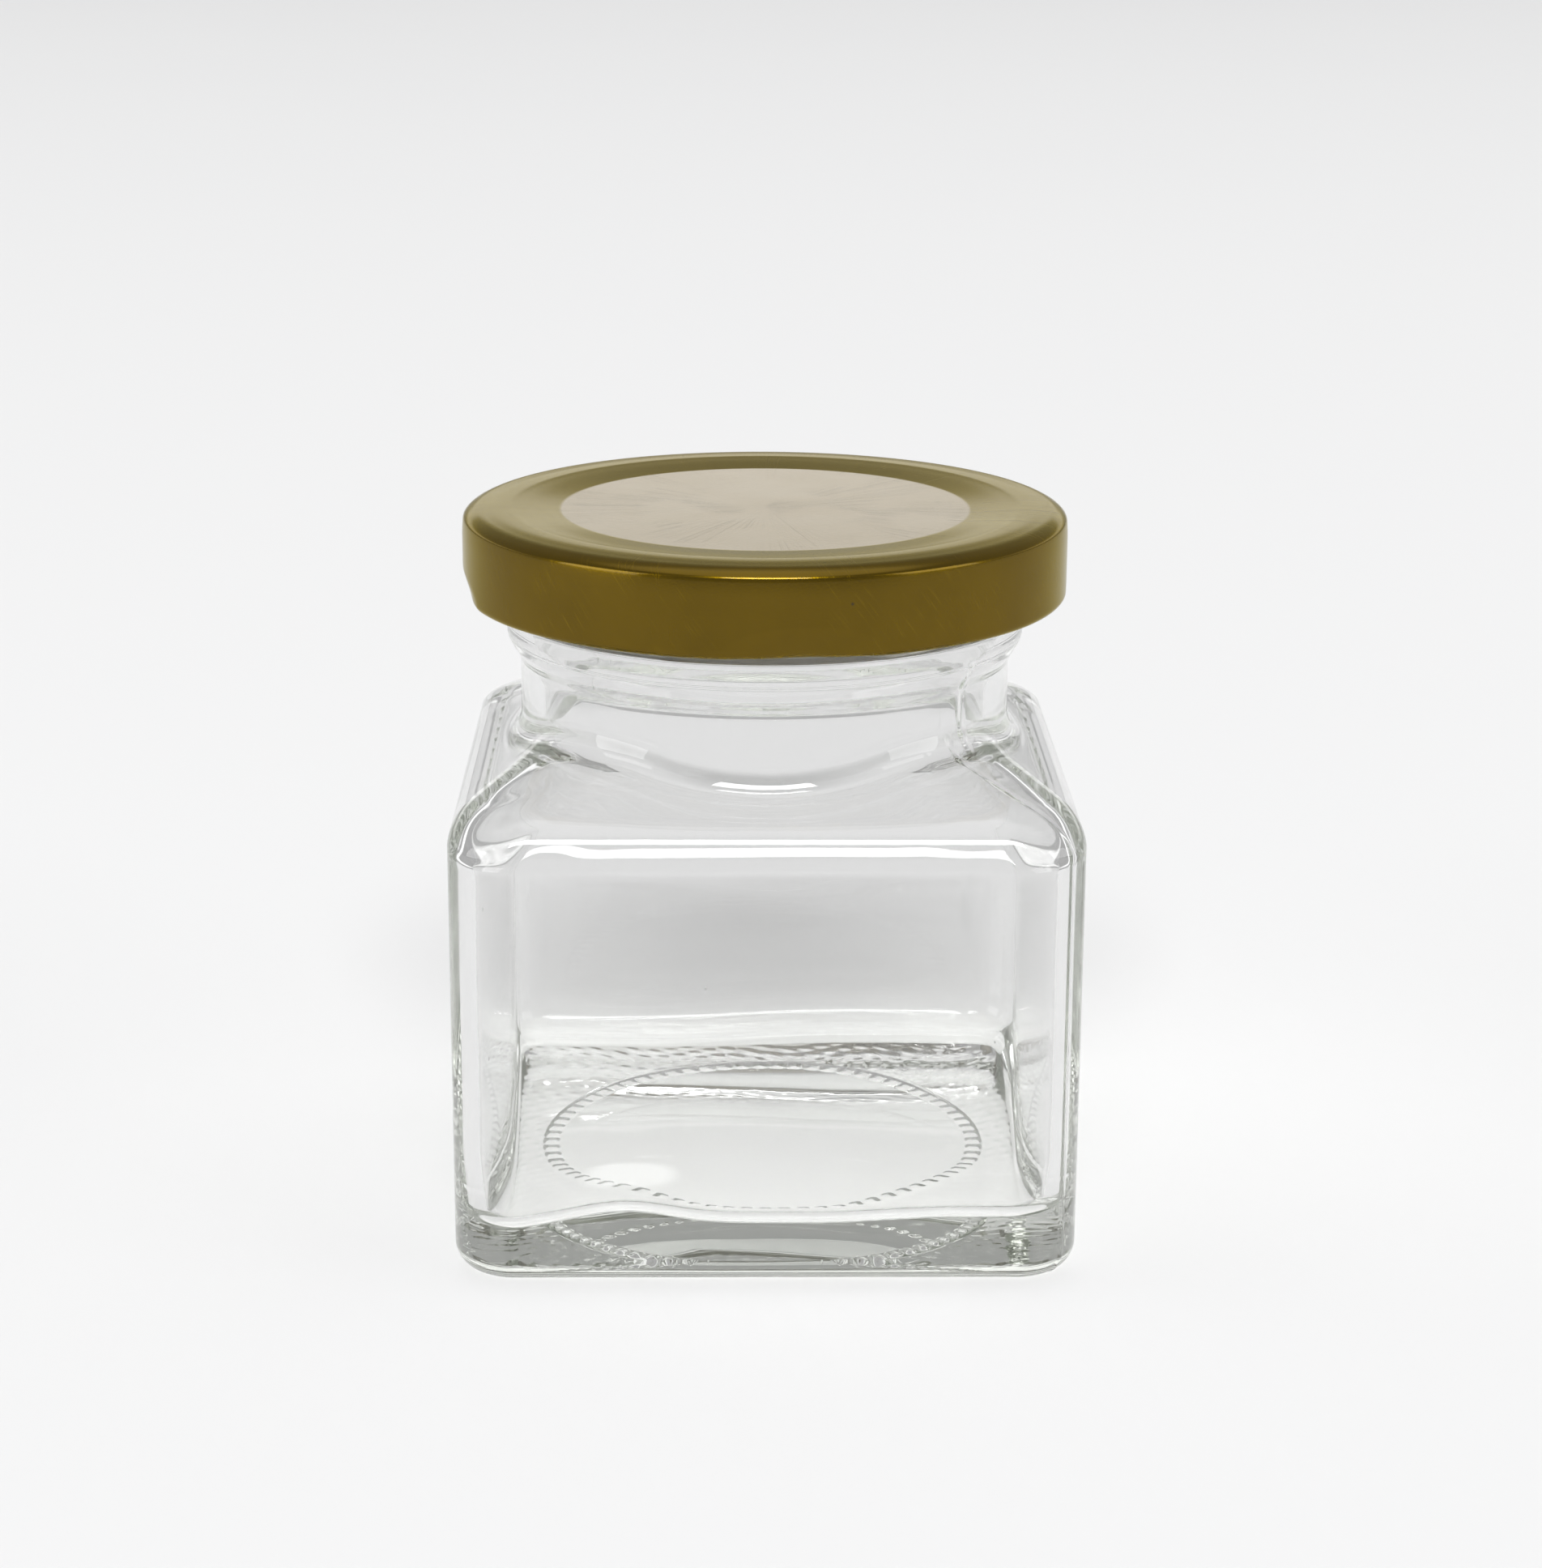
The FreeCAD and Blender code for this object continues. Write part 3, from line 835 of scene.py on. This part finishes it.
def softMaterial(name, colour, shade, rough, scale):
    # a pale coating, slightly uneven in colour and gloss
    material, nodes, links = newMaterial(name)
    out = nodes.new("ShaderNodeOutputMaterial")
    shader = nodes.new("ShaderNodeBsdfPrincipled")
    coords = nodes.new("ShaderNodeTexCoord").outputs["Object"]
    drift = ramp(nodes, links, noiseAt(nodes, links, coords, scale / 5, 3.0), 0.3, 0.7, 0.0, 1.0)
    links.new(mixColour(nodes, links, drift, colour, shade), shader.inputs["Base Color"])
    links.new(ramp(nodes, links, drift, 0.0, 1.0, rough, rough + 0.08), shader.inputs["Roughness"])
    relief = nodes.new("ShaderNodeBump")
    relief.inputs["Strength"].default_value = 0.15
    relief.inputs["Distance"].default_value = 0.00005
    links.new(noiseAt(nodes, links, coords, scale, 2.0), relief.inputs["Height"])
    links.new(relief.outputs["Normal"], shader.inputs["Normal"])
    links.new(shader.outputs["BSDF"], out.inputs["Surface"])
    return material


# stage: floor, world, lights and camera

stage = {
    "floorSize": 8.0,
    "floorZ": -0.05 * mm,
    "floorColour": (0.83, 0.83, 0.83),
    "floorShade": (0.82, 0.82, 0.825),
    "floorPatch": 3.0,               # patches of shade to the metre
    # painted shade: the front of the floor is darker, so that the lid's skirt mirrors a dim front
    "floorFront": (0.62, 0.62, 0.62),
    "frontShadeFade": (-0.70, -0.12),     # the painted shade goes from floorFront to floorColour between these
    "frontWorld": 0.35,
    "midWorld": 0.46,
    "worldFade": (-0.6, 0.6),
    "backBand": 1.12,
    "bandBelow": (0.09, 0.16),       # sine of the height at which the band begins, and ends
    "bandAbove": (0.21, 0.27),
    "bandFade": (-0.2, 0.7),
    "skyPanel": 0.75,
    "skyFade": (0.80, 0.92),
    "lightAway": 8.0,
    "lightAim": (0, 0, 0.05),
}

# each softbox: azimuth from the front (right positive), elevation, width, height in degrees, radiance
boxes = {
    "keyBox": (0.0, 43.0, 27.0, 13.0, 16.5),
    "leftBox": (-66.0, 16.0, 34.0, 30.0, 2.8),
    "rightBox": (68.0, 18.0, 34.0, 30.0, 2.2),
}

view = {
    "away": 314.2 * mm,
    "height": 129.2 * mm,
    "right": 0.66 * mm,
    "pitch": math.radians(16.07),
    "roll": math.radians(0.29),
    "turn": math.radians(-0.9),
    "lens": 79.84,
    "sensor": 36,
    "nearest": 0.01,
    "bounces": 80,
    "innerBounces": 64,
}


def floorMaterial():
    # matt and pale, with painted shade making it a little darker towards the front
    material, nodes, links = newMaterial("paleFloor")
    out = nodes.new("ShaderNodeOutputMaterial")
    shader = nodes.new("ShaderNodeBsdfPrincipled")
    coords = nodes.new("ShaderNodeTexCoord").outputs["Object"]
    noise = noiseAt(nodes, links, coords, stage["floorPatch"])
    colour = mixColour(nodes, links, noise, stage["floorColour"], stage["floorShade"])
    split = nodes.new("ShaderNodeSeparateXYZ")
    links.new(coords, split.inputs[0])
    # painted shade: the floor colour darkens towards the front
    front = ramp(nodes, links, split.outputs["Y"], *stage["frontShadeFade"], 1.0, 0.0)
    links.new(mixColour(nodes, links, front, colour, stage["floorFront"]), shader.inputs["Base Color"])
    shader.inputs["Roughness"].default_value = 0.85
    shader.inputs["Specular IOR Level"].default_value = 0.2
    links.new(shader.outputs["BSDF"], out.inputs["Surface"])
    return material


def buildStage():
    half, z = stage["floorSize"] / 2, stage["floorZ"]
    square = [(-half, -half, z), (half, -half, z), (half, half, z), (-half, half, z)]
    mesh = bpy.data.meshes.new("floor")
    mesh.from_pydata(square, [], [(0, 1, 2, 3)])
    floor = bpy.data.objects.new("floor", mesh)
    mesh.materials.append(floorMaterial())
    bpy.context.scene.collection.objects.link(floor)
    world = bpy.data.worlds.new("studio")
    world.use_nodes = True
    nodes, links = world.node_tree.nodes, world.node_tree.links
    split = nodes.new("ShaderNodeSeparateXYZ")
    links.new(nodes.new("ShaderNodeTexCoord").outputs["Generated"], split.inputs[0])
    # dim all round and dimmer in front, a bright band low behind the jar, and a soft panel overhead
    back, up = split.outputs["Y"], split.outputs["Z"]
    around = ramp(nodes, links, back, *stage["worldFade"], stage["frontWorld"], stage["midWorld"])
    rise = ramp(nodes, links, up, *stage["bandBelow"], 0.0, 1.0)
    end = ramp(nodes, links, up, *stage["bandAbove"], 1.0, 0.0)
    behind = ramp(nodes, links, back, *stage["bandFade"], 0.0, stage["backBand"])
    band = maths(nodes, links, "MULTIPLY", maths(nodes, links, "MULTIPLY", rise, end), behind)
    over = ramp(nodes, links, up, *stage["skyFade"], 0.0, stage["skyPanel"])
    total = maths(nodes, links, "ADD", maths(nodes, links, "ADD", around, band), over)
    links.new(total, nodes["Background"].inputs["Strength"])
    nodes["Background"].inputs["Color"].default_value = (1, 1, 1, 1)
    bpy.context.scene.world = world
    print("stage: floor and world")


def softBox(name, azimuth, elevation, width, height, radiance):
    # a rectangular area light facing the jar, sized by the angle it covers as seen from there
    away = stage["lightAway"]
    data = bpy.data.lights.new(name, "AREA")
    data.shape = "RECTANGLE"
    data.size = 2 * away * math.tan(math.radians(width / 2))
    data.size_y = 2 * away * math.tan(math.radians(height / 2))
    data.energy = radiance * math.pi * data.size * data.size_y
    turn, lift = math.radians(azimuth), math.radians(elevation)
    middle = Vector(stage["lightAim"])
    toward = Vector((math.sin(turn) * math.cos(lift), -math.cos(turn) * math.cos(lift), math.sin(lift)))
    light = bpy.data.objects.new(name, data)
    light.location = middle + toward * away
    light.rotation_euler = (-toward).to_track_quat("-Z", "Y").to_euler()
    light.visible_camera = False
    bpy.context.scene.collection.objects.link(light)


def buildLights():
    for name, numbers in boxes.items():
        softBox(name, *numbers)
    print("lights:", len(boxes), "soft boxes")


def buildCamera():
    data = bpy.data.cameras.new("camera")
    data.sensor_width = view["sensor"]
    data.lens = view["lens"]
    data.clip_start = view["nearest"]
    camera = bpy.data.objects.new("camera", data)
    tilt = Matrix.Rotation(math.pi / 2 - view["pitch"], 4, "X")
    roll = Matrix.Rotation(view["roll"], 4, "Z")
    turn = Matrix.Rotation(view["turn"], 4, "Z")
    place = Matrix.Translation((view["right"], -view["away"], view["height"]))
    camera.matrix_world = turn @ place @ tilt @ roll
    bpy.context.scene.collection.objects.link(camera)
    bpy.context.scene.camera = camera
    bpy.context.scene.view_settings.view_transform = "Standard"
    # light takes many turns inside thick glass before it leaves
    cycles = bpy.context.scene.cycles
    cycles.max_bounces = view["bounces"]
    cycles.glossy_bounces = view["innerBounces"]
    cycles.transmission_bounces = view["innerBounces"]
    print("camera:", view["lens"], "mm lens")


groups = {"scratches": scratchGroup(), "grain": grainGroup()}
buildGlassJar()
buildLid()
buildGasket()
buildStage()
buildLights()
buildCamera()
